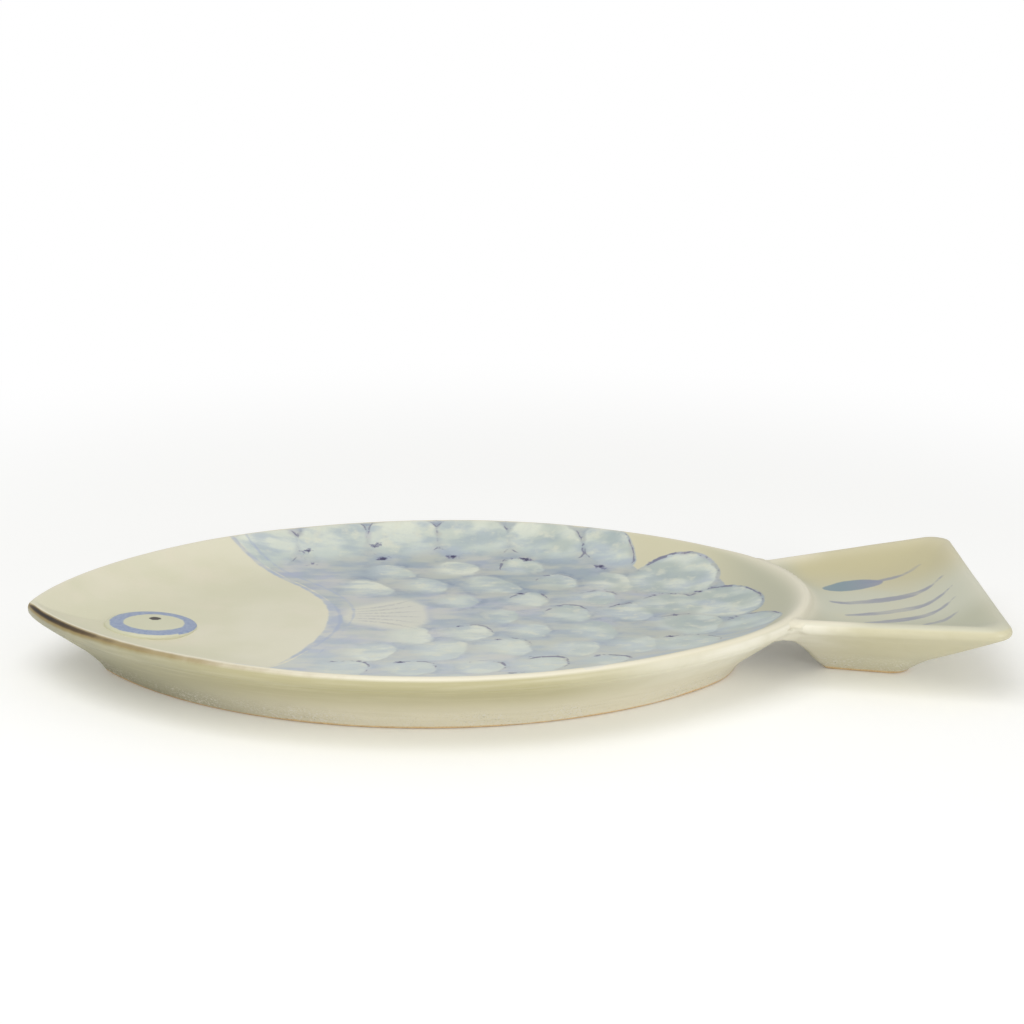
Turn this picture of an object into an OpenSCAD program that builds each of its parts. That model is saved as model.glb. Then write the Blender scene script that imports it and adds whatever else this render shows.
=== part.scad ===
// Fish shaped serving platter, hand built in stoneware.
// The body is a shallow pointed dish, and the tail a flared dish luted to its round end.
// Each dish stands on its own foot ring, and the eye is a clay disc pressed into the well.
// X runs from the snout to the tail, Z is up, and the origin is the middle of the
// platter's footprint on the table.

/* [Body dish] */
// Length of the body dish from the snout to its round end
body_length = 368; // [355:1:380]
// Width of the body dish across its rim at the widest place
body_width = 252; // [230:1:270]
// Plan radius of the round end that carries the tail
end_radius = 90; // [84:1:98]
// Height of the body rim above the table
rim_height = 35; // [34.5:0.5:40]
// Thickness of the rounded rim
rim_thickness = 7; // [5:0.5:9]
// Slope of the well where it leaves the rim, in degrees
well_angle = 30; // [24:1:38]
// Depth of the well below the rim
well_depth = 11.5; // [10:0.5:13]
// Distance from the rim's outer edge to the flat floor of the well
well_margin = 50; // [44:1:58]
// Distance that the flared wall leans in between the rim and the foot
wall_lean = 32; // [28:1:36]
// Thickness of the dish floor over the hollow underside
floor_thickness = 11; // [8:0.5:12]

/* [Feet] */
// Height of the body foot ring
foot_height = 6; // [4:0.5:8]
// Width of the body foot ring where it meets the dish
foot_width = 13; // [10:0.5:16]
// Distance that the body foot narrows in towards the table, on each side
foot_taper = 2; // [1:0.5:3]
// Radius of the rounded lower edges of the body foot ring
foot_rounding = 1.8; // [1:0.1:2.5]
// Height of the tail foot ring
tail_foot_height = 7.5; // [5:0.5:9]
// Width of the tail foot ring where it meets the tail dish
tail_foot_width = 11; // [10:0.5:13]
// Distance that the tail foot leans in towards the table
tail_foot_taper = 5; // [3:0.5:6]

/* [Tail dish] */
// Distance that the tail reaches beyond the round end of the body
tail_length = 82; // [70:1:100]
// Width of the tail where it leaves the body
neck_width = 100; // [92:1:104]
// Width of the tail at its outer end
tail_width = 162; // [150:1:180]
// Height of the tail rim at the neck
neck_rim_height = 34; // [33:0.25:34.25]
// Height of the tail rim at its outer end
tail_rim_height = 37; // [35:0.5:42]
// Thickness of the tail's rounded rim
tail_rim_thickness = 7; // [5:0.5:9]
// Plan radius of the tail's two outer corners
tail_corner_radius = 8; // [6:0.5:14]
// Distance that the tail's flared walls lean in between the rim and the foot
tail_wall_lean = 32; // [28:1:35]
// Height of the tail well's floor above the table
tail_floor_height = 26; // [24:0.5:28]
// Distance from the tail rim's outer edge to the flat floor of its well
tail_well_margin = 34; // [28:1:38]
// Thickness of the tail floor over its hollow underside
tail_floor_thickness = 13; // [10:0.5:14]
// Thickness of the neck, from its rim down to the groove under it
neck_thickness = 8.5; // [7.5:0.5:12]
// Radius of the smoothed clay in the groove under the neck
neck_fillet = 5; // [3:0.5:6]
// Distance of the tail foot from the round end of the body, in plan
foot_setback = 2; // [1:0.5:5]
// Distance over which the tail's well slopes up to the body rim at the neck
apron_length = 20; // [14:1:26]

/* [Eye] */
// Diameter of the eye disc
eye_diameter = 43; // [32:1:48]
// Distance of the eye's centre from the snout
eye_from_snout = 60; // [52:1:75]
// Distance of the eye's centre from the long axis, towards the front
eye_off_axis = 8; // [0:0.5:16]
// Height of the eye disc above the flat floor of the well
eye_rise = 2.2; // [1.8:0.1:4]
// Depth that the eye disc is pressed into the floor of the well
eye_seat = 1.2; // [0.8:0.1:2]
// Lean of the disc where the well rises to the snout, in degrees
eye_tilt = 3.4; // [0:0.2:5]
// Lean of the disc where the well rises to the front rim, in degrees
eye_lean = 2.5; // [0:0.5:4]
// Radius of the eye disc's rounded edge
eye_rounding = 1; // [0.5:0.1:1.4]

/* [Hidden] */
$fn = 96;

// Every cut runs this far past what it cuts
overrun = 1;
// Narrow flat along the body's wall, from which the curves of the neck start
seam = 0.5;

// Steps along the rounded stretches of plans and sections
side_steps = 26;
end_steps = 14;
corner_steps = 8;
lip_steps = 8;
slope_steps = 8;
edge_steps = 3;

// Colours of the glazed clay
glaze = "#d8d2bc";
bare_clay = "#bfb794";
eye_blue = "#8f9cc4";

// Plan of the body: two long side arcs from the snout, and one arc round the end.
// The side arcs start at the snout, reach the half width and run into the end arc.
half_width = body_width / 2;
end_centre_x = body_length - end_radius;
side_ratio = end_radius / half_width;
side_rest = body_length * body_length - 2 * end_radius * body_length + end_radius * half_width;
widest_at = (end_centre_x - sqrt(end_centre_x * end_centre_x - side_ratio * side_rest)) / side_ratio;
side_radius = (widest_at * widest_at + half_width * half_width) / body_width;
side_centre_y = side_radius - half_width;
end_half_angle = atan2(side_centre_y, end_centre_x - widest_at);

// The plan of the body at an inset from the rim's outer edge, from the snout round the end
function body_plan(inset) =
    let (r = side_radius - inset,
         snout = 180 - asin(side_centre_y / r),
         side = [for (k = [0 : side_steps]) let (a = snout + (end_half_angle - snout) * k / side_steps)
             [widest_at + r * cos(a), r * sin(a) - side_centre_y]],
         round = [for (k = [1 : end_steps]) let (a = end_half_angle * (1 - k / end_steps))
             [end_centre_x + (end_radius - inset) * cos(a), (end_radius - inset) * sin(a)]],
         far = concat(side, round))
    concat(far, [for (k = [len(far) - 2 : -1 : 1]) [far[k][0], -far[k][1]]]);

// Plan of the tail: straight flared sides from the body's round end to the outer edge
overall_length = body_length + tail_length;
neck_x = end_centre_x + sqrt(end_radius * end_radius - neck_width * neck_width / 4);
tail_run = overall_length - neck_x;
side_slope = (tail_width - neck_width) / 2 / tail_run;
side_angle = atan(side_slope);

// Corners tighten by half between the rim and the foot
tight_share = 0.5;
function corner_radius(inset) =
    tail_corner_radius * (1 - tight_share * min(inset, tail_wall_lean) / tail_wall_lean);

// The plan of the tail at an inset, from a starting line across it to its outer end
function tail_plan(inset, start = neck_x - neck_fillet) =
    let (r = corner_radius(inset),
         side_at = function(x) neck_width / 2 + side_slope * (x - neck_x) - inset / cos(side_angle),
         cx = overall_length - inset - r,
         cy = side_at(cx) - r / cos(side_angle),
         far = concat(
             [[start, side_at(start)]],
             [for (k = [0 : corner_steps]) let (a = (90 + side_angle) * (1 - k / corner_steps))
                 [cx + r * cos(a), cy + r * sin(a)]]))
    concat(far, [for (k = [len(far) - 1 : -1 : 0]) [far[k][0], -far[k][1]]]);

// Sections are lists of [inset, height]: inset is the distance in from the rim's outer edge.
function arc(centre, radius, from, to, steps) =
    [for (k = [0 : steps]) let (a = from + (to - from) * k / steps)
        [centre[0] - radius * cos(a), centre[1] + radius * sin(a)]];

// A slope that leaves the first point at an angle and runs out level at the second
function easing(start, finish, angle, steps) =
    let (knee = [start[0] + (start[1] - finish[1]) / tan(angle), finish[1]])
    [for (k = [1 : steps]) let (t = k / steps)
        (1 - t) * (1 - t) * start + 2 * t * (1 - t) * knee + t * t * finish];

function last(list) = list[len(list) - 1];
function reversed(list) = [for (k = [len(list) - 1 : -1 : 0]) list[k]];

// Section of the body dish: the straight outer wall touches the round lip, and the
// other side of the lip falls to the floor of the well
lip_radius = rim_thickness / 2;
lip_height = rim_height - lip_radius;
floor_height = rim_height - well_depth;
roof_height = floor_height - floor_thickness;
wall_rise = lip_height - foot_height;
wall_run = wall_lean - lip_radius;
wall_angle = atan2(wall_rise, wall_run) - asin(lip_radius / norm([wall_rise, wall_run]));
outer_wall = concat(
    [[wall_lean, foot_height]],
    arc([lip_radius, lip_height], lip_radius, wall_angle - 90, 90, lip_steps));
inner_lip = arc([lip_radius, lip_height], lip_radius, 90, 90 + well_angle, edge_steps);
well_slope = easing(last(inner_lip), [well_margin, floor_height], well_angle, slope_steps);

// The underside is hollowed inside the foot ring, so that the clay keeps an even thickness
foot_inner = wall_lean + foot_width;
roof_inset = foot_inner + roof_height - foot_height;
dish_section = concat(
    [[roof_inset, roof_height], [foot_inner, foot_height]],
    outer_wall,
    [for (k = [1 : edge_steps]) inner_lip[k]],
    well_slope);

// Section of the body foot ring, with rounded lower edges
foot_section = concat(
    [[wall_lean, foot_height], [foot_inner, foot_height]],
    arc([foot_inner - foot_taper - foot_rounding, foot_rounding], foot_rounding, -180, -90, edge_steps),
    arc([wall_lean + foot_taper + foot_rounding, foot_rounding], foot_rounding, -90, 0, edge_steps));

// Section of the tail dish, with heights as shares of the rim's rise above the foot
tail_lip_radius = tail_rim_thickness / 2;
tail_lip_height = tail_rim_height - tail_lip_radius;
tail_wall_run = tail_wall_lean - tail_lip_radius;
tail_lip_rise = tail_lip_height - tail_foot_height;
tail_wall_angle = atan2(tail_lip_rise, tail_wall_run)
    - asin(tail_lip_radius / norm([tail_lip_rise, tail_wall_run]));
tail_lip = [tail_lip_radius, tail_lip_height];
tail_outer_wall = concat(
    [[tail_wall_lean, tail_foot_height]],
    arc(tail_lip, tail_lip_radius, tail_wall_angle - 90, 90, lip_steps));
tail_inner_lip = arc(tail_lip, tail_lip_radius, 90, 90 + well_angle, edge_steps);
tail_well_slope = easing(last(tail_inner_lip), [tail_well_margin, tail_floor_height], well_angle, slope_steps);

// Height of the tail rim at a distance from the snout: it climbs from the neck to the end
function tail_rim(x) = neck_rim_height + (tail_rim_height - neck_rim_height) * (x - neck_x) / tail_run;

// A height of the tail's section moved to its place under the climbing rim
function climbing(height, base, x) =
    base + (tail_rim(x) - base) * (height - base) / (tail_rim_height - base);

// Levels of points, from which a skin is made
function level(plan, height) = [for (p = plan) [p[0], p[1], height]];
function climbing_level(plan, height, base) = [for (p = plan) [p[0], p[1], climbing(height, base, p[0])]];
function body_levels(section) = [for (p = section) level(body_plan(p[0]), p[1])];
function tail_levels(section, base) =
    [for (p = section) climbing_level(tail_plan(p[0]), p[1], base)];
function flat_tail_levels(section, start) =
    [for (p = section) level(tail_plan(p[0], start), p[1])];

// Joins a stack of levels into a closed solid. The stack climbs on its outside, and a
// looped stack returns to its first level.
module skin(levels, looped = false) {
    count = len(levels[0]);
    stack = len(levels);
    bands = looped ? stack : stack - 1;
    sides = [for (j = [0 : bands - 1], k = [0 : count - 1], half = [0, 1])
        let (here = j * count, next = (j + 1) % stack * count, turn = (k + 1) % count)
        half == 0 ? [here + k, here + turn, next + turn] : [here + k, next + turn, next + k]];
    caps = looped ? [] : [
        [for (k = [count - 1 : -1 : 0]) k],
        [for (k = [0 : count - 1]) (stack - 1) * count + k]];
    polyhedron([for (ring = levels, p = ring) p], concat(sides, caps), convexity = 8);
}

// Moves the model from the snout to the middle of its footprint
module centred() {
    translate([-overall_length / 2, 0, 0])
        children();
}

// The eye disc's place: its top lies level with the well's rise, and its seat under that
module at_eye() {
    translate([eye_from_snout, -eye_off_axis, floor_height + eye_rise])
        rotate([-eye_lean, eye_tilt, 0])
            children();
}

// Everything that the body's outer wall encloses, up to the lip and past it
module body_block() {
    section = concat(outer_wall, [[lip_radius, rim_height + overrun]]);
    skin(body_levels(section));
}

// The groove under the neck: the tail foot's side, the smoothed clay and the body's wall
module neck_groove() {
    groove_top = neck_rim_height - neck_thickness;
    wall_inset = wall_lean - (groove_top - foot_height) / tan(wall_angle);
    foot_side = -foot_setback;
    section = concat(
        [[end_radius, -overrun], [foot_side - tail_foot_taper, -overrun],
            [foot_side - tail_foot_taper, 0], [foot_side, tail_foot_height]],
        arc([wall_inset - seam, groove_top - neck_fillet], neck_fillet, 0, 90, lip_steps),
        [[end_radius, groove_top]]);
    around_end(section);
}

// Turns a section about the axis of the body's round end
module around_end(section) {
    translate([end_centre_x, 0, 0])
        rotate_extrude()
            polygon(radii(section));
}
function radii(section) = [for (p = section) [end_radius - p[0], p[1]]];

// The apron of clay that slopes from the body's rim down to the tail's well
module neck_apron() {
    top = neck_rim_height - tail_lip_radius / 2;
    slope = easing([seam, top], [apron_length, tail_floor_height], well_angle, slope_steps);
    section = concat(
        [[end_radius, top], [-seam, top]],
        [for (p = slope) [-p[0], p[1]]],
        [[-apron_length, tail_foot_height], [end_radius, tail_foot_height]]);
    around_end(section);
}

// The hollow under the tail, open to the table, inside the tail foot ring
module tail_hollow() {
    inset = tail_wall_lean + tail_foot_width;
    roof = tail_floor_height - tail_floor_thickness;
    lean_in = (roof - tail_foot_height) * tight_share;
    near_side = -foot_setback - tail_foot_width;
    difference() {
        skin(flat_tail_levels([[inset, -overrun], [inset, tail_foot_height], [inset + lean_in, roof]],
            body_length - near_side / 2));
        around_end([[end_radius, -2 * overrun], [near_side, -2 * overrun], [near_side, tail_foot_height],
            [near_side - lean_in, roof + overrun], [end_radius, roof + overrun]]);
    }
}

module body_dish() {
    color(glaze)
        centred()
            difference() {
                skin(body_levels(dish_section));
                at_eye()
                    translate([0, 0, -eye_rise - eye_seat])
                        cylinder(h = eye_rise + eye_seat + well_depth, d = eye_diameter);
            }
}

module body_foot_ring() {
    color(bare_clay)
        centred()
            skin(body_levels(foot_section), looped = true);
}

module tail_dish() {
    well = reversed(concat([[tail_lip_radius, tail_rim_height + overrun]], tail_inner_lip, tail_well_slope));
    color(glaze)
        centred()
            difference() {
                skin(tail_levels(tail_outer_wall, tail_foot_height));
                difference() {
                    skin(tail_levels(well, tail_floor_height));
                    neck_apron();
                }
                body_block();
                neck_groove();
                tail_hollow();
            }
}

module tail_foot_ring() {
    low = tail_wall_lean + tail_foot_taper;
    outside = [[low + foot_rounding, 0], [low, foot_rounding], [tail_wall_lean, tail_foot_height]];
    color(bare_clay)
        centred()
            difference() {
                skin(flat_tail_levels(outside, body_length));
                neck_groove();
                tail_hollow();
            }
}

module eye_disc() {
    radius = eye_diameter / 2;
    thickness = eye_rise + eye_seat;
    color(eye_blue)
        centred()
            at_eye()
                rotate_extrude()
                    polygon(concat(
                        [[0, 0], [0, -thickness], [radius, -thickness]],
                        [for (k = [0 : edge_steps]) let (a = 90 * k / edge_steps)
                            [radius - eye_rounding + eye_rounding * cos(a),
                             -eye_rounding + eye_rounding * sin(a)]]));
}

body_dish();
body_foot_ring();
tail_dish();
tail_foot_ring();
eye_disc();
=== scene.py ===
# %% [markdown]
# A fish shaped platter, glazed and painted
#
# The real platter is hand-built stoneware: a shallow pointed dish for the body, a flared dish for
# the tail, a foot under each, and a clay disc for the eye. A satin cream glaze covers it, and the
# gill, scales, fin and tail strokes are brushed on in watery cobalt.
#
# The sizes are those of the imported CAD part. Each piece here is a finer, softer skin for one CAD
# part, and stands in its place. First the CAD part is loaded, and the box of each of its parts is
# printed.

import math
import random

import bmesh
import bpy
import numpy as np
from mathutils import Matrix, Vector, noise


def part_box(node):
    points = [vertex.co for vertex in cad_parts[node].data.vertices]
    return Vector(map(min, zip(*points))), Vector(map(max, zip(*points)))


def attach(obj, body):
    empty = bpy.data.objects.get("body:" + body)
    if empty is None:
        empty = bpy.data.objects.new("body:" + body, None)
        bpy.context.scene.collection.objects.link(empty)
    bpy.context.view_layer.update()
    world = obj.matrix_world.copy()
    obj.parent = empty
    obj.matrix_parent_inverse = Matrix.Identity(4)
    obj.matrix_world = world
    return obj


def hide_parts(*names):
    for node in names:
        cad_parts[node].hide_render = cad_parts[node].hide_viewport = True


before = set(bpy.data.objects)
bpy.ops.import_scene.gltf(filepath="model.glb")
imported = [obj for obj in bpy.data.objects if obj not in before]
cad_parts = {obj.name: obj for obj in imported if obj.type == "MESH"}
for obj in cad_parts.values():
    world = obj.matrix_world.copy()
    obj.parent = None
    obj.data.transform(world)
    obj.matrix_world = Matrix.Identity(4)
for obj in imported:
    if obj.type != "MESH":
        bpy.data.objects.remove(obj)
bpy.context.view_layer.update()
for name in sorted(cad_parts):
    low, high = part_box(name)
    print(name, [round(1000 * v) for v in (*low, *high)])

# %% [markdown]
# Sizes
#
# A potter thinks in millimetres, and so does this script: a piece is modelled in millimetres,
# with x counted from the snout, and goes to metres in the shared frame when it is finished. The
# plan of the body is two long arcs and a round end, which follow from its length, its width and
# the radius of that end, as in the CAD source.

# %% Plan of the body and the tail
PLATTER_LENGTH = 450.0
BODY_LENGTH = 368.0
HALF_WIDTH = 126.0
END_RADIUS = 90.0
RIM_HEIGHT = 35.0
FLOOR_HEIGHT = 23.5
WELL_MARGIN = 50.0
LIP_RADIUS = 3.5
WALL_LEAN = 32.0
FOOT_TOP = 6.0
TAIL_FOOT_TOP = 7.5

END_X = BODY_LENGTH - END_RADIUS
ratio = END_RADIUS / HALF_WIDTH
rest = BODY_LENGTH**2 - 2 * END_RADIUS * BODY_LENGTH + END_RADIUS * HALF_WIDTH
WIDEST_X = (END_X - math.sqrt(END_X**2 - ratio * rest)) / ratio
SIDE_RADIUS = (WIDEST_X**2 + HALF_WIDTH**2) / (2 * HALF_WIDTH)
SIDE_Y = SIDE_RADIUS - HALF_WIDTH
END_ANGLE = math.atan2(SIDE_Y, END_X - WIDEST_X)

NECK_HALF = 50.0
TAIL_HALF = 81.0
NECK_X = END_X + math.sqrt(END_RADIUS**2 - NECK_HALF**2)
TAIL_SLOPE = (TAIL_HALF - NECK_HALF) / (PLATTER_LENGTH - NECK_X)
TAIL_ANGLE = math.atan(TAIL_SLOPE)
LEAN_SHARE = 1 / math.cos(TAIL_ANGLE)
NECK_RIM = 34.0
TAIL_RIM = 37.0
TAIL_FLOOR = 26.0
TAIL_MARGIN = 34.0
TAIL_CORNER = 8.0
print(f"widest at {WIDEST_X:.1f} mm, side arcs of {SIDE_RADIUS:.1f} mm, neck at {NECK_X:.1f} mm")

# %% [markdown]
# Heights of the clay
#
# Cut across its rim, the clay has the same section all the way round: a straight outer wall, a
# round lip and a slope that runs out level on the floor of the well. Both heights depend only on
# the distance in from the rim, which makes them easy to reuse: the body spins this section, and
# the tail is pressed to it.

# %% Sections of the clay
def step_up(value, low, high):
    """Nothing below low, one above high, and smooth between."""
    share = np.clip((value - low) / (high - low), 0, 1)
    return share * share * (3 - 2 * share)


def slope_height(inset, start, start_height, stop, stop_height, angle=30.0):
    """Height of a slope that leaves the lip at an angle and runs out level on the floor."""
    knee = start + (start_height - stop_height) / math.tan(math.radians(angle))
    a, b = start - 2 * knee + stop, 2 * (knee - start)
    c = start - np.clip(inset, start, stop)
    root = np.sqrt(np.maximum(b * b - 4 * a * c, 0))
    even = np.abs(a) < 1e-6
    along = np.where(even, -c / b, (root - b) / np.where(even, 1, 2 * a))
    return (1 - along) ** 2 * start_height + (1 - (1 - along) ** 2) * stop_height


def inner_height(inset, rim, floor, margin):
    """Height of the glazed inside: the round of the lip, then the slope down to the floor."""
    lip = rim - LIP_RADIUS
    turn = 1.5 * LIP_RADIUS
    across = np.clip(LIP_RADIUS - inset, -0.5 * LIP_RADIUS, LIP_RADIUS)
    roll = lip + np.sqrt(LIP_RADIUS**2 - across**2)
    turn_height = lip + LIP_RADIUS * math.sqrt(0.75)
    return np.where(inset < turn, roll, slope_height(inset, turn, turn_height, margin, floor))


def wall_height(inset, rim, foot=FOOT_TOP):
    """Height of the outer wall: the under side of the lip, then straight down to the foot."""
    lip = rim - LIP_RADIUS
    rise, run = lip - foot, WALL_LEAN - LIP_RADIUS
    lean = np.arctan2(rise, run) - np.arcsin(LIP_RADIUS / np.hypot(rise, run))
    touch = LIP_RADIUS * (1 - np.sin(lean))
    across = np.clip(LIP_RADIUS - inset, 0, LIP_RADIUS)
    under = lip - np.sqrt(LIP_RADIUS**2 - across**2)
    straight = foot + (WALL_LEAN - inset) * np.tan(lean)
    return np.where(inset < touch, under, straight)


def body_height(inset):
    """Height of the body's glazed inside."""
    return inner_height(inset, RIM_HEIGHT, FLOOR_HEIGHT, WELL_MARGIN)


depths = [round(float(body_height(inset)), 1) for inset in (0, 10, 30, 50)]
print("inside of the body at 0, 10, 30 and 50 mm from the rim:", depths)

# %% [markdown]
# The body dish
#
# On the real platter this is a slab pressed over a mould, so its section never changes and only
# its plan bends. Spinning the section is the natural way to make that: once about the centre of
# the far side's arc, cut off along the middle of the fish, and once about the centre of the round
# end. The near side is a mirror of the far one. The snout is where the two sides meet, and there
# the clay is smoothed as a thumb would do it.

# %% Spinning a section round the body's plan
SIDE_STEPS, END_STEPS = 300, 44
MERGE = 0.02
SNOUT_BLUNT, SNOUT_SPREAD, SNOUT_REACH = 3.2, 7.0, 75.0


def spin_round_body(bm, section):
    """Spins a section of (inset, height) round the body. Insets past the end's centre are cut."""
    reach = math.pi - math.asin(SIDE_Y / SIDE_RADIUS) + math.radians(2)
    for centre, radius, start, stop, steps in (
        ((WIDEST_X, -SIDE_Y), SIDE_RADIUS, reach, END_ANGLE, SIDE_STEPS),
        ((END_X, 0.0), END_RADIUS, END_ANGLE, 0.0, END_STEPS),
    ):
        points = [p for p in section if p[0] <= radius + 1e-6]
        closed = section[0] == section[-1]
        points = points[:-1] if closed else points
        c, s = math.cos(start), math.sin(start)
        verts = [
            bm.verts.new((centre[0] + (radius - i) * c, centre[1] + (radius - i) * s, z))
            for i, z in points
        ]
        edges = [bm.edges.new(pair) for pair in zip(verts, verts[1:])]
        if closed:
            edges.append(bm.edges.new((verts[-1], verts[0])))
        bmesh.ops.spin(
            bm, geom=verts + edges, cent=(*centre, 0), axis=(0, 0, 1), dvec=(0, 0, 0),
            angle=stop - start, steps=steps, use_merge=False,
        )
    everything = bm.verts[:] + bm.edges[:] + bm.faces[:]
    bmesh.ops.bisect_plane(
        bm, geom=everything, dist=0.001, plane_co=(0, 0, 0), plane_no=(0, 1, 0), clear_inner=True
    )
    bmesh.ops.remove_doubles(bm, verts=bm.verts[:], dist=MERGE)
    everything = bm.verts[:] + bm.edges[:] + bm.faces[:]
    bmesh.ops.mirror(bm, geom=everything, matrix=Matrix.Identity(4), merge_dist=MERGE, axis="Y")
    bmesh.ops.remove_doubles(bm, verts=bm.verts[:], dist=MERGE)
    bmesh.ops.dissolve_degenerate(bm, dist=0.001, edges=bm.edges[:])


def smooth_snout(bm, width, rounds):
    """Blunts the snout's tip a little and softens the crease where the two sides meet."""
    for v in bm.verts:
        v.co.x += SNOUT_BLUNT * math.exp(-max(v.co.x, 0) / SNOUT_SPREAD)
    crease = [v for v in bm.verts if v.co.x < SNOUT_REACH and abs(v.co.y) < width]
    for _ in range(rounds):
        bmesh.ops.smooth_vert(
            bm, verts=crease, factor=0.5, use_axis_x=True, use_axis_y=True, use_axis_z=True
        )


print(f"side arcs in {SIDE_STEPS} steps, half the round end in {END_STEPS}")

# %% [markdown]
# The dish is one slab, so its section is one line: from the middle of the hollow underneath, out
# over the seat of the foot, up the wall, over the lip and down the slope to the middle of the
# well. It runs a little past the middle, where the cut along the fish trims it.

# %% The body dish
def steps_between(start, stop, step):
    """Evenly spaced values from start to stop, about a step apart."""
    count = max(1, round(abs(stop - start) / step))
    return [start + (stop - start) * k / count for k in range(count + 1)]


def close_up(name, bm):
    """Turns a piece's faces outwards, and says how many of its edges are open."""
    bmesh.ops.recalc_face_normals(bm, faces=bm.faces[:])
    open_edges = [e for e in bm.edges if not e.is_manifold]
    print(f"{name}: {len(bm.faces)} faces, {len(open_edges)} open edges")


wall_insets = steps_between(WALL_LEAN, 2.0, 3.0)
lip_turns = steps_between(-0.36 * math.pi, 0.62 * math.pi, 0.2)
lip_rise = RIM_HEIGHT - LIP_RADIUS
ROOF_INSET, ROOF_HEIGHT = 51.5, 12.5
FOOT_OUTER, FOOT_INNER = 38.0, 45.0
SLOPE_START = 5.8
PAST_MIDDLE = HALF_WIDTH + 4

dish_section = [(i, ROOF_HEIGHT) for i in (PAST_MIDDLE, END_RADIUS, 62.0, ROOF_INSET)]
dish_section += [(FOOT_INNER, FOOT_TOP), (FOOT_OUTER, FOOT_TOP)]
dish_section += [(i, float(wall_height(i, RIM_HEIGHT))) for i in wall_insets]
dish_section += [
    (LIP_RADIUS * (1 - math.cos(t)), lip_rise + LIP_RADIUS * math.sin(t)) for t in lip_turns
]
dish_section += [(i, float(body_height(i))) for i in steps_between(SLOPE_START, WELL_MARGIN, 1.25)]
for start, stop in ((WELL_MARGIN, END_RADIUS), (END_RADIUS, PAST_MIDDLE)):
    dish_section += [(i, FLOOR_HEIGHT) for i in steps_between(start, stop, 1.4)[1:]]

body_bm = bmesh.new()
spin_round_body(body_bm, dish_section)
smooth_snout(body_bm, width=5, rounds=4)
# A sliver of a face is left over near the middle line, and is found by its open edge
flaps = {f for e in body_bm.edges if e.is_boundary for f in e.link_faces}
bmesh.ops.delete(body_bm, geom=list(flaps), context="FACES")
close_up("body dish", body_bm)

# %% [markdown]
# The foot under the body
#
# The foot ring was luted on and its joint wiped smooth, so its outer side starts on the wall in
# a small hollow curve. The same spin makes it. Its top lies inside the clay of the dish.

# %% The body foot ring
wall_slope = float(wall_height(20.0, RIM_HEIGHT) - wall_height(21.0, RIM_HEIGHT))
joint_start = (22.5, FOOT_TOP + wall_slope * (WALL_LEAN - 22.5) + 0.3)
joint_knee = (31.0, FOOT_TOP + wall_slope * (WALL_LEAN - 31.0) - 0.15)
joint_end = (34.0, 1.9)


def hollow_curve(a, b, c, steps):
    """Points on a curve from a to c that leans towards b, as a wiped joint does."""
    shares = [k / steps for k in range(steps + 1)]
    return [
        tuple((1 - t) ** 2 * p + 2 * t * (1 - t) * q + t * t * r for p, q, r in zip(a, b, c))
        for t in shares
    ]


foot_section = [(joint_start[0] + 1.0, joint_start[1] + 0.9)]
foot_section += hollow_curve(joint_start, joint_knee, joint_end, 10)
foot_section += [(34.4, 1.0), (35.0, 0.3), (36.0, 0.0), (38.5, 0.0), (41.0, 0.0), (42.1, 0.4)]
foot_section += [(42.9, 1.3), (43.6, 3.0), (FOOT_INNER, FOOT_TOP), (45.4, 6.8), (42.0, 7.6)]
foot_section.append(foot_section[0])

body_foot_bm = bmesh.new()
spin_round_body(body_foot_bm, foot_section)
smooth_snout(body_foot_bm, width=4, rounds=2)
close_up("body foot ring", body_foot_bm)

# %% [markdown]
# The tail dish
#
# The tail is a thick slab pressed into shape and luted to the body, with the joint wiped so soft
# that the rim of the body runs over into the tail. That soft joint is the reason for another way
# here: a grid is extruded into a slab, and then each of its points is pressed to the height that
# the clay has there. Where two surfaces meet, a soft maximum or minimum takes the larger or the
# smaller of them with a round between, as a wet thumb does. The slab's left end runs on inside
# the clay of the body, where it doesn't show.

# %% Distances on the tail
def soft_max(a, b, width):
    """The larger of two heights, with a round of that width where they cross."""
    near = np.maximum(width - np.abs(a - b), 0) / width
    return np.maximum(a, b) + near * near * width / 4


def soft_min(a, b, width):
    """The smaller of two heights, with a round of that width where they cross."""
    return -soft_max(-a, -b, width)


def tail_rim(x):
    """Height of the tail's rim, which climbs towards its end."""
    return NECK_RIM + (TAIL_RIM - NECK_RIM) * (x - NECK_X) / (PLATTER_LENGTH - NECK_X)


def tail_side(x):
    """Half the width of the tail at x, by its own straight side."""
    return NECK_HALF + TAIL_SLOPE * (x - NECK_X)


def slab_side(x):
    """Half the width of the slab: the tail's side, run softly into the body's rim."""
    rim_circle = np.sqrt(np.maximum(END_RADIUS**2 - (x - END_X) ** 2, 0)) - 0.3
    return soft_max(tail_side(x), rim_circle, 9.0)


def beyond_body(x, y):
    """Distance outside the round end of the body, less than nothing inside it."""
    return np.hypot(x - END_X, y) - END_RADIUS


def tail_inset(x, y, radius):
    """Distance in from the tail's edge. Its contours turn the end corners with that radius."""
    side, end = (slab_side(x) - np.abs(y)) / LEAN_SHARE, PLATTER_LENGTH - x
    half = (math.pi / 2 - TAIL_ANGLE) / 2
    apart = np.minimum(np.abs(side - end) / (2 * math.cos(half)), radius * math.cos(half))
    turned = (side + end) / 2 + math.sin(half) * np.sqrt(radius**2 - apart**2) - radius
    beside = np.abs(side - end) >= 2 * radius * math.cos(half) ** 2
    return np.maximum(np.where(beside, np.minimum(side, end), turned), 0)


def beside_neck(x, y):
    """Nothing on the tail, and one beside the neck, where the slab lies inside the body."""
    return step_up(np.abs(y) - tail_side(x), 1.5, 8)


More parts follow.
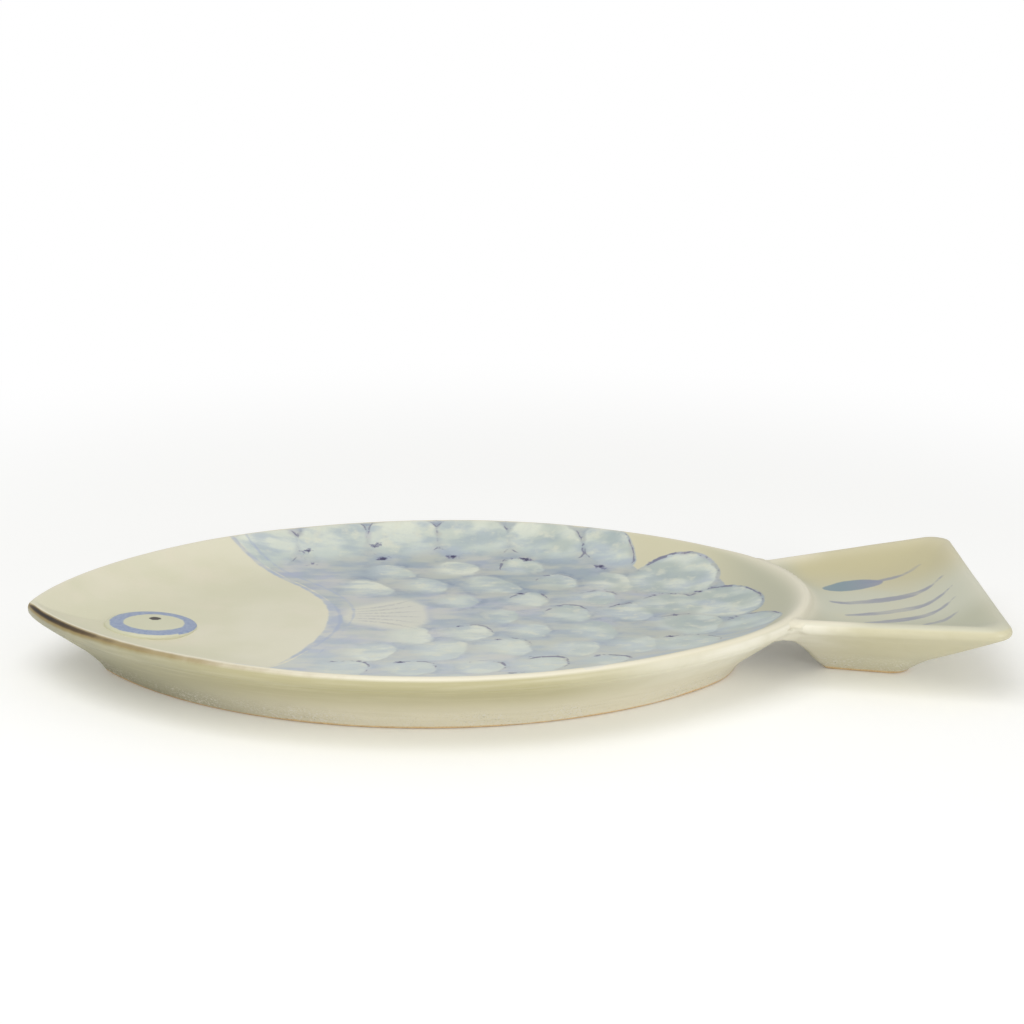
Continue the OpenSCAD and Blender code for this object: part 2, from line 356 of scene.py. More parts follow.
def thumb_round(hidden, wide):
    """Width of the round that a thumb left in a joint: a hair where it's hidden, more outside."""
    return 0.3 + (1 - hidden) * (1.2 + 4.5 * wide)


def tail_top_height(x, y):
    """Height of the tail's top: its well, the apron of its neck and the crest of the body's rim."""
    edge = np.minimum((slab_side(x) - np.abs(y)) / LEAN_SHARE, PLATTER_LENGTH - x)
    inset = tail_inset(x, y, TAIL_CORNER + 0.35 * np.clip(edge - 4, 0, 16))
    away, hidden = beyond_body(x, y), beside_neck(x, y)
    well = inner_height(inset, tail_rim(x), TAIL_FLOOR, TAIL_MARGIN)
    apron = TAIL_FLOOR + 6.6 * (1 - np.clip(away, 0, 22) / 22) ** 2
    own = soft_max(well, apron, 3.0) - 2.5 * np.maximum(0, -away - 1) - 12 * hidden
    crest = body_height(-away) - 0.15
    crest = np.where(away > 0, RIM_HEIGHT - LIP_RADIUS - 10 * away, crest)
    at_neck = 0.8 * step_up(away, -3, 1) * step_up(tail_side(x) - np.abs(y), -2.5, 2)
    return soft_max(own, crest, thumb_round(hidden, np.maximum(step_up(inset, 3, 16), at_neck)))


FLANK_TOP, FLANK_START, FLANK_SLOPE = 25.8, 0.8, 2.4


def tail_under_height(x, y):
    """Height of the tail's underside: its wall, its foot's seat and hollow, and the neck's flank."""
    inset = tail_inset(x, y, TAIL_CORNER)
    away, hidden = beyond_body(x, y), beside_neck(x, y)
    wall = wall_height(inset, tail_rim(x), TAIL_FOOT_TOP)
    flank = TAIL_FOOT_TOP + FLANK_SLOPE * np.maximum(0, FLANK_START - away)
    flank = soft_min(FLANK_TOP, flank, 4.0)
    own = soft_max(np.maximum(wall, TAIL_FOOT_TOP), flank, 3.0)
    hollow = np.clip(np.minimum(inset - 43, away - 13) / 3.5, 0, 1)
    own = np.where(hollow > 0, TAIL_FOOT_TOP + 5.5 * hollow, own)
    own += 2.5 * np.maximum(0, -away - 9) + 12 * hidden
    own += 1.8 * step_up(np.abs(y) - tail_side(x), -7, 0) * step_up(-away, -7, 0)
    body_wall = wall_height(-away, RIM_HEIGHT) + 0.15
    body_wall = np.where(away > 0, RIM_HEIGHT - LIP_RADIUS + 10 * away, body_wall)
    wide = np.maximum(step_up(inset, 2, 12), 0.8 * step_up(away, -3, 1))
    return soft_min(own, body_wall, thumb_round(hidden, wide))


print(f"the tail widens from {2 * NECK_HALF:.0f} to {2 * TAIL_HALF:.0f} mm")

# %% [markdown]
# Rows and columns are close together at the rim, where the clay turns sharply, and wider apart
# in the well. Columns are counted from the tail's end and rows from the nearer side.

# %% The slab's grid
PATCH = 12.0
FLANGE, SIDE_STRIP, SLAB_STEP = 108.0, 32.0, 1.15
rim_steps = [0, 0.12, 0.45, 1.0, 1.7, 2.5, 3.4, 4.4, 5.5, 6.7, 7.9, 9.2, 10.6, PATCH]
columns = rim_steps + steps_between(PATCH, FLANGE, SLAB_STEP)[1:]
side_rows = rim_steps + steps_between(PATCH, SIDE_STRIP, SLAB_STEP)[1:]
middle_rows = 44
row_count = 2 * len(side_rows) + middle_rows

tail_bm = bmesh.new()
bmesh.ops.create_grid(tail_bm, x_segments=len(columns) - 1, y_segments=row_count - 1, size=1)
slab = bmesh.ops.extrude_face_region(tail_bm, geom=tail_bm.faces[:])
lifted = [v for v in slab["geom"] if isinstance(v, bmesh.types.BMVert)]
bmesh.ops.translate(tail_bm, verts=lifted, vec=(0, 0, 1))

grid = np.array([v.co for v in tail_bm.verts])
column = np.rint((grid[:, 0] + 1) / 2 * (len(columns) - 1)).astype(int)
row = np.rint((grid[:, 1] + 1) / 2 * (row_count - 1)).astype(int)
from_end = np.array(columns)[len(columns) - 1 - column]
half_row = np.minimum(row, row_count - 1 - row)
far = np.where(row > (row_count - 1) / 2, 1.0, -1.0)
print(len(columns), "columns and", row_count, "rows")

# %% [markdown]
# A column lies at its distance from the end, and a row at its distance in from the side. At the
# two end corners the grid is bent instead: each ring of the corner's patch becomes a straight
# piece, an arc and a straight piece, so that the edges of the mesh follow the round corner.

# %% Rows, columns and corners
x = PLATTER_LENGTH - from_end
in_side = half_row < len(side_rows)
edge_inset = np.array(side_rows)[np.minimum(half_row, len(side_rows) - 1)]
square = np.maximum(PATCH - edge_inset, 0) * in_side * np.clip(1 - (from_end - PATCH) / PATCH, 0, 1)
x = np.where(from_end < PATCH, x, x - square * math.sin(TAIL_ANGLE))
side = slab_side(np.minimum(x, PLATTER_LENGTH - PATCH))
middle_half = side - side_rows[-1] * LEAN_SHARE
middle_share = np.clip((row - len(side_rows) + 1) / (middle_rows + 1) * 2 - 1, -1, 1)
y = np.where(in_side, far * (side - edge_inset * LEAN_SHARE), middle_half * middle_share)

corner = (from_end < PATCH) & in_side & (edge_inset < PATCH)
across, ahead = PATCH - edge_inset, PATCH - from_end
ring = np.maximum(np.maximum(across, ahead), 1e-6)
radius = np.maximum(TAIL_CORNER - (PATCH - ring), 0.3 * ring)
full_turn = math.pi / 2 + TAIL_ANGLE
straight = (ring - radius) * math.tan(full_turn / 2)
along = np.clip(np.minimum(across, ahead) / ring, 0, 1) * (straight + radius * full_turn / 2)
turn = np.maximum(along - straight, 0) / radius
ahead_of = ring - radius + radius * np.cos(turn)
aside = np.minimum(along, straight) + radius * np.sin(turn)
c, s = math.cos(full_turn), math.sin(full_turn)
on_side = across > ahead
corner_x = PLATTER_LENGTH - PATCH
corner_y = float(slab_side(corner_x)) - PATCH * LEAN_SHARE
x = np.where(corner, corner_x + np.where(on_side, ahead_of * c + aside * s, ahead_of), x)
y = np.where(corner, far * (corner_y + np.where(on_side, ahead_of * s - aside * c, aside)), y)
print("corners turn through", round(math.degrees(full_turn)), "degrees")

# %% [markdown]
# Now the slab is pressed: each point goes to the height that the clay has there. Where the top
# and the underside would meet, they are kept a tenth of a millimetre apart.

# %% Pressing the slab
top = tail_top_height(x, y)
under = tail_under_height(x, y)
LEAST_HALF = 0.05
middle = (top + under) / 2
top = np.maximum(top, middle + LEAST_HALF)
under = np.minimum(under, middle - LEAST_HALF)
height = np.where(grid[:, 2] > 0.5, top, under)
for v, place in zip(tail_bm.verts, np.column_stack([x, y, height])):
    v.co = place
bmesh.ops.remove_doubles(tail_bm, verts=tail_bm.verts[:], dist=0.01)
bmesh.ops.dissolve_degenerate(tail_bm, dist=0.001, edges=tail_bm.edges[:])
close_up("tail dish", tail_bm)

# %% [markdown]
# The foot under the tail
#
# A small ring of four soft sides. A circle of points is placed on the foot's outline, and its
# edge is extruded level by level: down the outside, under the foot and up the inside. The first
# and last loops are then bridged inside the clay.

# %% The tail foot ring
FOOT_MIDDLE = 395.0
MID_TAIL_RIM = TAIL_RIM - 1.5


def foot_outline(angle, inset, away):
    """Point of the foot's outline in one direction from its middle, found by halving."""
    direction = np.array([math.cos(angle), math.sin(angle)])
    short, long = 0.0, 60.0
    for _ in range(30):
        reach = (short + long) / 2
        px, py = np.array([FOOT_MIDDLE, 0.0]) + reach * direction
        room = float(tail_inset(px, py, TAIL_CORNER)) - inset
        room = soft_min(room, beyond_body(px, py) - away, 2.5)
        short, long = (reach, long) if room > 0 else (short, reach)
    return px, py


FOOT_POINTS = 160
tail_wall = [
    (i, float(wall_height(i, MID_TAIL_RIM, TAIL_FOOT_TOP)) + sink)
    for i, sink in ((24.5, 0.3), (31.2, -0.15))
]


def from_body(height):
    """How far from the body's rim the foot's outer side stands at a height."""
    if height > TAIL_FOOT_TOP:
        return FLANK_START - (height - TAIL_FOOT_TOP) / FLANK_SLOPE
    return FLANK_START + 6 * (1 - height / TAIL_FOOT_TOP)


joint = hollow_curve(tail_wall[0], tail_wall[1], (36.4, 1.8), 9)
foot_levels = [(i, from_body(h), h) for i, h in joint]
foot_levels.insert(0, tuple(v + more for v, more in zip(foot_levels[0], (1.2, 1.2, 0.9))))
foot_levels += [(36.9, 6.5, 0.9), (37.6, 7.2, 0.25), (38.6, 8.2, 0.0), (41.2, 11.2, 0.0)]
foot_levels += [(42.3, 12.3, 0.25), (42.9, 12.9, 0.9), (43.1, 13.1, 4.0), (43.2, 13.2, 8.2)]

tail_foot_bm = bmesh.new()
bmesh.ops.create_circle(tail_foot_bm, cap_ends=False, segments=FOOT_POINTS, radius=1)
first_edges = loop_edges = tail_foot_bm.edges[:]
for level, (level_inset, level_away, level_height) in enumerate(foot_levels):
    if level:
        grown = bmesh.ops.extrude_edge_only(tail_foot_bm, edges=loop_edges)["geom"]
        loop_edges = [e for e in grown if isinstance(e, bmesh.types.BMEdge)]
        loop_edges = [e for e in loop_edges if all(v in grown for v in e.verts)]
    for v in {v for e in loop_edges for v in e.verts}:
        turn_here = math.atan2(v.co.y, v.co.x - (FOOT_MIDDLE if level else 0.0))
        px, py = foot_outline(turn_here, level_inset, level_away)
        rise = tail_rim(px) - MID_TAIL_RIM
        v.co = (px, py, level_height + rise * np.clip(level_height - 2, 0, 30) / 28)
bmesh.ops.bridge_loops(tail_foot_bm, edges=first_edges + loop_edges)
close_up("tail foot ring", tail_foot_bm)

# %% [markdown]
# The eye
#
# A flat coin of clay pressed into the well: its edge is round, and its face domes a little. It is
# a section spun about its own axis, then tilted with the slope of the well and moved to its seat.

# %% The eye disc
EYE_X, EYE_Y, EYE_TOP = 60.0, -8.0, 25.7
EYE_FACE, EYE_DOME = 19.0, 0.35
EYE_TILT, EYE_LEAN = math.radians(3.4), math.radians(-2.5)
eye_section = [(0, -3.8), (20.9, -3.8), (21.4, -3.2), (21.5, -1.7), (21.35, -1.0), (20.9, -0.5)]
eye_section += [(20.2, -0.2), (EYE_FACE, -0.03)]
face_radii = (17, 15, 13, 11, 9, 7, 5, 3, 1.5, 0)
eye_section += [(r, EYE_DOME * (1 - (r / EYE_FACE) ** 2)) for r in face_radii]

eye_bm = bmesh.new()
eye_verts = [eye_bm.verts.new((r, 0, h)) for r, h in eye_section]
eye_edges = [eye_bm.edges.new(pair) for pair in zip(eye_verts, eye_verts[1:])]
bmesh.ops.spin(
    eye_bm, geom=eye_verts + eye_edges, cent=(0, 0, 0), axis=(0, 0, 1), dvec=(0, 0, 0),
    angle=2 * math.pi, steps=120, use_merge=True,
)
bmesh.ops.remove_doubles(eye_bm, verts=eye_bm.verts[:], dist=0.001)
for turn, axis in ((EYE_LEAN, "X"), (EYE_TILT, "Y")):
    tilt = Matrix.Rotation(turn, 3, axis)
    bmesh.ops.rotate(eye_bm, verts=eye_bm.verts[:], cent=(0, 0, 0), matrix=tilt)
bmesh.ops.translate(eye_bm, verts=eye_bm.verts[:], vec=(EYE_X, EYE_Y, EYE_TOP))
close_up("eye disc", eye_bm)

# %% [markdown]
# Made by hand
#
# Nothing that was pressed and wiped by hand is quite even. One slow noise moves all the pieces
# together, by up to half a millimetre at the rim and nothing at the table, so that they still
# touch and the feet stay flat. Each piece then goes to metres in the shared frame, rides on the
# platter's one body and stands in for its CAD part.

# %% Finishing the pieces
def uneven(place):
    """How far the potter's hand left a point of the clay from its true place, in millimetres."""
    slow = [noise.noise(place / 90 + Vector((13 * axis, 5, 2))) for axis in (1, 2, 3)]
    quick = [noise.noise(place / 22 + Vector((4, 17 * axis, 9))) for axis in (1, 2, 3)]
    lift = min(place.z / RIM_HEIGHT, 1.0)
    return Vector([0.7 * slow[axis] + 0.12 * quick[axis] for axis in range(3)]) * lift


pieces = {}
for node, bm, slot in (
    ("body_dish", body_bm, "body_glaze"),
    ("body_foot_ring", body_foot_bm, "foot_clay"),
    ("tail_dish", tail_bm, "tail_glaze"),
    ("tail_foot_ring", tail_foot_bm, "foot_clay"),
    ("eye_disc", eye_bm, "eye_glaze"),
):
    mesh = bpy.data.meshes.new(f"glazed_{node}")
    bm.to_mesh(mesh)
    bm.free()
    true_place = np.empty(len(mesh.vertices) * 3, np.float32)
    mesh.vertices.foreach_get("co", true_place)
    for v in mesh.vertices:
        v.co += uneven(v.co)
    mesh.transform(Matrix.Scale(0.001, 4) @ Matrix.Translation((-PLATTER_LENGTH / 2, 0, 0)))
    mesh.polygons.foreach_set("use_smooth", [True] * len(mesh.polygons))
    piece = bpy.data.objects.new(f"glazed_{node}", mesh)
    bpy.context.scene.collection.objects.link(piece)
    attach(piece, "root")
    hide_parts(node)
    pieces[node] = (piece, true_place.reshape(-1, 3).astype(float))
    print(piece.name, len(mesh.vertices), "points")

# %% [markdown]
# Planning the brushwork
#
# The painter works on the flat of the dish, so each mark is planned there, seen from above. For
# every point of a piece the plan says how far it is inside a mark's edge, in millimetres. Such a
# distance changes evenly across the edge, so the material can find a crisp or a watery edge
# between two points of the mesh, and can let it waver. All marks follow simple rules.

# %% Where a point lies on the body
def body_inset(x, y):
    """Distance in from the body's rim."""
    side = SIDE_RADIUS - np.hypot(x - WIDEST_X, np.abs(y) + SIDE_Y)
    end = END_RADIUS - np.hypot(x - END_X, y)
    in_end = (x > END_X) & (np.arctan2(np.abs(y), x - END_X) < END_ANGLE)
    return np.where(in_end, end, side)


GILL_X, GILL_Y = 145.5, 3.0
GILL_BOW, GILL_BEND = 66.0, 0.0145
STROKE_POINTS = 14


def gill_x(y):
    """The gill line is a hyperbola that bows back towards the tail in the middle of the fish."""
    return GILL_X - GILL_BOW * (np.sqrt(1 + (GILL_BEND * (y - GILL_Y)) ** 2) - 1)


def stroke(x, y, points, widths):
    """Millimetres inside a brush stroke through those points, with a half width at each."""
    inside = np.full(x.shape, -50.0)
    for (ax, ay), (bx, by), wa, wb in zip(points, points[1:], widths, widths[1:]):
        length = math.hypot(bx - ax, by - ay)
        along = np.clip(((x - ax) * (bx - ax) + (y - ay) * (by - ay)) / length**2, 0, 1)
        away = np.hypot(x - ax - along * (bx - ax), y - ay - along * (by - ay))
        inside = np.maximum(inside, wa + (wb - wa) * along - away)
    return inside


def bowed(start, stop, bow):
    """Points of a stroke from start to stop that bows to its left by bow millimetres."""
    (ax, ay), (bx, by) = start, stop
    length = math.hypot(bx - ax, by - ay)
    return [
        (
            ax + (bx - ax) * t - (by - ay) / length * bow * 4 * t * (1 - t),
            ay + (by - ay) * t + (bx - ax) / length * bow * 4 * t * (1 - t),
        )
        for t in (k / (STROKE_POINTS - 1) for k in range(STROKE_POINTS))
    ]


def attribute(piece, name, values, where=True, elsewhere=0.0):
    """Stores a number for each point of a piece, and another where the mark can't be."""
    layer = piece.data.attributes.new(name, "FLOAT", "POINT")
    layer.data.foreach_set("value", np.where(where, values, elsewhere).astype(np.float32))


print("gill line at the middle and near the rim:", [round(float(gill_x(y)), 1) for y in (3, 80)])

# %% [markdown]
# Scales
#
# Scales are dabs of pale slip in staggered rows over a watery blue wash: each dab is laid with
# one press of a round brush that lifts towards the head, so its tail end is crisp and its head
# end fades. Broad dabs hang from the far rim, and a few round ones close the rows before the
# tail. About half of the dabs have a thin violet outline on their far side, and where outlines
# meet, the cobalt pools in dark specks. The near rim hides the last row in the photo, so that row
# has random numbers of its own, which leave the others as they are.

# %% Laying out the scales
ROW_STEP, DAB_STEP = 25, 30
brush = random.Random(7)
scales = []


def add_scale(at, half, line, turn=0.0, inset=None):
    """Notes a dab: its middle and half sizes, the weight of its outline and how it is turned."""
    scales.append({"at": at, "half": half, "inset": inset, "turn": turn, "line": line})


for k in range(6):
    add_scale((113 + 35 * k - 5 * (k == 5), None), (17.3, 14.5) if k < 5 else (11, 13), 0.4, inset=16)


def lay_row(row_index, places, brush):
    """Lays the dabs of one row at those places along it, each a little off, as a hand lays them."""
    for k in places:
        at_x = 163 + DAB_STEP * k + 15 * (row_index % 2) + brush.uniform(-3, 3)
        at_y = ROW_STEP * row_index + brush.uniform(-3, 3)
        if body_inset(at_x, at_y) < (38 if at_y > 0 else 14) or at_x < gill_x(at_y) + 20:
            continue
        if at_x > 296 or (at_x < 196 and -24 < at_y < 33):
            continue
        size = brush.uniform(0.85, 1.15)
        half = (8.8 * size, 12.5 * size * brush.uniform(0.85, 1.15))
        turn = 0.007 * at_y + brush.uniform(-0.35, 0.35)
        line = brush.uniform(0.5, 1.0) if brush.random() < 0.5 else 0
        add_scale((at_x, at_y), half, line, turn)


for row_index in range(-3, 4):
    lay_row(row_index, range(7), brush)
for at, half in (((311, 50), (20, 21)), ((329, 11), (17, 21)), ((337, -25), (12, 14)), ((305, 14), (14, 15))):
    add_scale(at, half, 1.2, 0.3)
for at, half in (((311, -18), (14, 16)), ((305, -50), (14, 15))):
    add_scale(at, half, 0.5, -0.3)
for scale in scales:
    scale["tone"] = brush.random()
near_brush = random.Random(3)
for row_index, places in ((-4, range(-1, 7)), (-3, [-1])):
    lay_row(row_index, places, near_brush)
for scale in scales:
    scale.setdefault("tone", near_brush.random())
print(len(scales), "scales")

# %% [markdown]
# Where dabs overlap, the one that a point lies deepest in is on top. Each point keeps how deep it
# lies in that dab, the dab's tone, how soft its edge is there, and how heavy its outline is.

# %% Painting the scales
def scale_places(x, y, inset, scale):
    """Place of each point in a scale's own measure, with its middle at (0, 0) and its edge at 1."""
    across, down = x - scale["at"][0], y - (scale["at"][1] or 0)
    if scale["inset"] is not None:
        down = np.where(y > 0, scale["inset"] - inset, -99.0)
    c, s = math.cos(scale["turn"]), math.sin(scale["turn"])
    u = (across * c + down * s) / scale["half"][0]
    v = (down * c - across * s) / scale["half"][1]
    if scale["inset"] is None:
        v = v * (1 + 0.3 * np.clip(-u, 0, 1.5))
        u = np.where(u < 0, u / 1.3, u)
    return u, v


body, place = pieces["body_dish"]
x, y, z = place.T
inset = body_inset(x, y)
inside_dish = z > body_height(inset) - 1
inside_dish &= inset > 1.5
past_gill = (x - gill_x(y)) / np.sqrt(1 + (0.7 * step_up(np.abs(y - GILL_Y), 10, 70)) ** 2)

scale_edge, scale_tone = np.full(x.shape, -12.0), np.zeros(x.shape)
scale_soft, outline = np.ones(x.shape), np.zeros(x.shape)
for scale in scales:
    u, v = scale_places(x, y, inset, scale)
    power = 2.6 if scale["inset"] else 2.2
    edge = (1 - (np.abs(u) ** power + np.abs(v) ** power) ** (1 / power)) * min(scale["half"])
    nearer = edge > scale_edge
    scale_edge = np.where(nearer, edge, scale_edge)
    tone = 1.1 - inset / 26 if scale["inset"] else scale["tone"]
    scale_tone = np.where(nearer, tone, scale_tone)
    fading = 6.0 * step_up(inset, 12, 30) if scale["inset"] else 5.5 * step_up(-u, -0.3, 0.8)
    scale_soft = np.where(nearer, 0.9 + fading, scale_soft)
    round_it = np.arctan2(v, u)
    reach = step_up(np.cos(round_it - (0.7 if scale["line"] > 1 else 1.3)), 0.1, 0.7)
    drawn = scale["line"] * reach * (0.35 + 0.65 * np.abs(np.sin(round_it)))
    drawn = scale["line"] * step_up(np.abs(u), 0.75, 0.95) if scale["inset"] else drawn
    outline = np.where(nearer, drawn, outline)
attribute(body, "scale_edge", scale_edge, inside_dish, -12)
attribute(body, "scale_tone", scale_tone)
attribute(body, "scale_soft", scale_soft)
attribute(body, "outline", outline, inside_dish & (past_gill > 4))
print("scales:", np.count_nonzero(inside_dish & (scale_edge > 0)), "points")

# %% [markdown]
# The wash lies behind the gill and stops short of the rim at the tail's end, where the brush was
# lifted. The gill is one stroke of cobalt, fattest in the middle, with a thin one behind it.

# %% Painting the wash and the gill
NO_MARK = -9.0
bare_end = 2 + 27 * step_up(x, 282, 296) * step_up(y, 20, 60)
bare_end = np.maximum(bare_end, 30 * step_up(x, 318, 340) * step_up(y, -42, -22))
bare_end = np.maximum(bare_end, 10 * step_up(x, 328, 345))
washed = np.maximum(step_up(inset - bare_end, 0, 4), step_up(scale_edge, -2.2, -0.6) * (x > 250))
wash = step_up(past_gill, 0, 3) * washed
attribute(body, "wash", wash, inside_dish)

gill_half = 0.9 + 2.8 * np.exp(-(((y + 10) / 34) ** 2)) + 0.5 * step_up(y, 20, 80)
gill = gill_half * step_up(y, -90, -40) - np.abs(past_gill)
second_gill = 0.8 * step_up(y, -30, 20) - np.abs(past_gill - 8 - 2 * np.sin(y / 17))
attribute(body, "line", np.maximum(gill, second_gill), inside_dish, NO_MARK)
print("wash:", np.count_nonzero(inside_dish & (wash > 0.5)), "points")

# %% [markdown]
# The pectoral fin is a small fan of brushed lines just behind the gill, with no wash on it, and
# a short grey arc at its root. The specks sit where outlines meet.

# %% Fin and specks
root_x, root_y = 126, 4
reach, swing = np.hypot(x - root_x, y - root_y), np.arctan2(y - root_y, x - root_x)
fin_edge = soft_min(63 - reach * (1 + 0.25 * swing**2), (0.46 - np.abs(swing)) * reach * 0.8, 8.0)
fin_edge = soft_min(fin_edge, (x - 149) * 0.8, 6.0)
attribute(body, "fin_edge", fin_edge, inside_dish, -20)
swell = [0.3 + 0.8 * math.sin(math.pi * t / (STROKE_POINTS - 1)) for t in range(STROKE_POINTS)]
fin_line = np.full(x.shape, NO_MARK)
for k in range(6):
    spread = (k - 2.5) / 2.5
    points = bowed((152, 4 + 8 * spread), (187 - 4 * abs(spread), 4 + 23 * spread), -3 * spread)
    fin_line = np.maximum(fin_line, stroke(x, y, points, swell))
attribute(body, "fin_line", fin_line, inside_dish, NO_MARK)

speck = np.full(x.shape, NO_MARK)
for k in range(1, 6):
    at_x = 113 + 35 * (k - 0.5)
    for at_inset, size in ((1.8 if k > 2 else 20, 1.2), (33, 1.5 if k > 1 else 0.9)):
        gap = np.hypot((x - at_x - 0.2 * at_inset) / 2.0, (inset - at_inset) / 1.3)
        speck = np.maximum(speck, np.where(y > 0, size - gap, NO_MARK))
for scale in scales:
    if scale["inset"] is None and scale["line"] > 0.3:
        corner_x = scale["at"][0] - 0.5 * scale["half"][0]
        corner_y = scale["at"][1] + 0.92 * scale["half"][1]
        size = brush.uniform(0.3, 1.3)
        speck = np.maximum(speck, size - np.hypot((x - corner_x) / 1.8, y - corner_y))
attribute(body, "speck", speck, inside_dish, NO_MARK)
print("specks:", np.count_nonzero(inside_dish & (speck > 0)), "points")

# %% [markdown]
# Along the crest of the lip a pale line is painted: partly the glaze running thin over the lip,
# partly a painted highlight. Near the snout, where iron in the clay comes through, the glaze breaks
# to dark brown. The iron lies on the outer edge of the near rim and fades away from the snout.

# %% Rim, wall and foot of each piece
for node, (piece, place) in pieces.items():
    x, y, z = place.T
    if node.startswith("tail"):
        rim = tail_rim(x)
        edge_inset = tail_inset(x, y, TAIL_CORNER)
    else:
        rim = np.full(x.shape, RIM_HEIGHT)
        edge_inset = body_inset(x, y)
    if node == "body_dish":
        top_here = body_height(edge_inset)
    elif node == "tail_dish":
        top_here = tail_top_height(x, y)
    else:
        top_here = rim + 9 * ("foot" in node)
    over_edge = (edge_inset < LIP_RADIUS) & (z > rim - 2 * LIP_RADIUS)
    if node == "tail_dish":
        over_edge &= beyond_body(x, y) > 4
    outside = step_up(np.maximum(np.where(over_edge, rim - z, 0), top_here - z), 0.6, 1.6)
    outside *= "eye" not in node
    attribute(piece, "outside", outside)
    from_edge = edge_inset
    if node.startswith("tail"):
        from_edge = np.minimum(edge_inset, np.abs(beyond_body(x, y) + 2) + 2.2)
    # The crest mark is a pale line along the lip: partly the glaze running thin, partly a painted highlight.
    inwards = np.maximum(from_edge - 2.2, 0) / (1.8 + 3.6 * step_up(x, 325, 358))
    crest = np.exp(-(inwards**2)) * (1 - outside)
    attribute(piece, "crest", crest, "dish" in node)
    golden = step_up(z, rim - 4.2, rim - 2.0) * step_up(-edge_inset, -4.0, -2.8)
    dark = step_up(-edge_inset, -3.2 - 2 * step_up(-x, -12, -5), -1.8)
    dark = step_up(z, rim - 2.2, rim - 0.8) * dark
    near = np.maximum(step_up(-y, -2, 2), step_up(-x, -8, -5))
    along = 0.3 * step_up(-x, -210, -70) + 0.25 * step_up(-x, -110, -30) + 0.45 * step_up(-x, -50, -4)
    iron = (0.42 * golden + 0.58 * dark) * near * along
    attribute(piece, "iron", iron, node == "body_dish")
    attribute(piece, "height", z)
    print(node, "outside:", np.count_nonzero(outside > 0.5), "points")

# %% [markdown]
# Tail strokes
#
# Five strokes fan from the neck towards the end of the tail, each thinner than the one before
# it. The first is a fat blue drop that was laid with a full brush.

# %% Painting the tail
tail, place = pieces["tail_dish"]
x, y, z = place.T
on_top = z > 24
fan = []
for k, (start, stop, bow, width) in enumerate((
    ((396, 30), (431, 49), -2.5, 1.6),
    ((379, -1), (437, 25), -6.0, 3.3),
    ((383, -19), (438, 7), -6.0, 2.6),
    ((390, -31), (436, -9), -5.0, 2.6),
    ((416, -37), (434, -28), -1.0, 2.0),
)):
    points = bowed(start, stop, bow)
    shares = [min(1, (t + 0.5) / (STROKE_POINTS - 1)) for t in range(STROKE_POINTS)]
    swell = [width * (0.25 + 0.75 * math.sin(math.pi * share**0.8)) for share in shares]
    fan.append(stroke(x, y, points, swell))
fat = [7.0 * math.sin(math.pi * (t + 0.6) / 14.2) ** 0.6 for t in range(STROKE_POINTS)]
drop = stroke(x, y, bowed((380, 21), (408, 33), 0.6), fat)
attribute(tail, "line", np.maximum.reduce(fan), on_top, NO_MARK)
attribute(tail, "drop", drop, on_top, NO_MARK)
print(len(fan), "strokes and a drop")

# %% [markdown]
# The eye
#
# The coin of clay has a soft blue ring, brushed a little off its middle, and a small dark pupil.

# %% Painting the eye
eye, place = pieces["eye_disc"]
x, y, z = place.T
ring_radius = np.hypot(x - EYE_X - 1.4, y - EYE_Y)
ring = np.minimum(20.8 - np.hypot(x - EYE_X - 1.6, y - EYE_Y), ring_radius - 13.8)
attribute(eye, "ring", ring, np.hypot(x - EYE_X, y - EYE_Y) <= 20.9, -1)
PUPIL_HALF = 2.9
pupil = 1 - np.hypot((x - EYE_X - 1.8) / PUPIL_HALF, (y - EYE_Y - 6.5) / 3.0)
attribute(eye, "pupil", pupil * PUPIL_HALF)
print("pupil:", np.count_nonzero(pupil > 0), "points")

# %% [markdown]
# Finishes
#
# The glaze is a satin cream to celadon stoneware glaze, fired in a kiln: the surface is smooth
# glass with tiny crystals in it, so highlights are broad and soft. Its colour drifts over
# centimetres with its thickness. Cobalt under it gives the blues, and white slip the pale dabs.
# Colours are written as sRGB hex and turned to linear by one function, and one function adds a
# node with its settings and links.

# %% Colours and nodes
def linear(hex_colour):
    """An sRGB hex colour as linear RGBA."""
    parts = [int(hex_colour[k : k + 2], 16) / 255 for k in (0, 2, 4)]
    return [c / 12.92 if c <= 0.04045 else ((c + 0.055) / 1.055) ** 2.4 for c in parts] + [1.0]


def add_node(tree, kind, inputs=None, output=0, **settings):
    """Adds a shader node with its settings and inputs, and gives back one of its outputs."""
    made = tree.nodes.new("ShaderNode" + kind)
    for setting, value in settings.items():
        setattr(made, setting, value)
    for key, value in (inputs or {}).items():
        if isinstance(value, bpy.types.NodeSocket):
            tree.links.new(value, made.inputs[key])
        else:
            made.inputs[key].default_value = value
    return made.outputs[output] if made.outputs else None


def blank_tree(owner):
    """Turns on the nodes of a material or a world, and clears them."""
    owner.use_nodes = True
    owner.node_tree.nodes.clear()
    return owner.node_tree


print("middle grey in linear light:", round(linear("808080")[0], 3))

# %% [markdown]
# A glaze in the making
#
# A potter builds a surface up in layers, and so does this node tree: it holds the colour so far
# and the relief so far, and each layer is laid over them. The noise runs on Object coordinates in
# millimetres, so a pattern's scale is one over its real size, and colours and the drift of the
# glaze run across the joints between the pieces without a break.

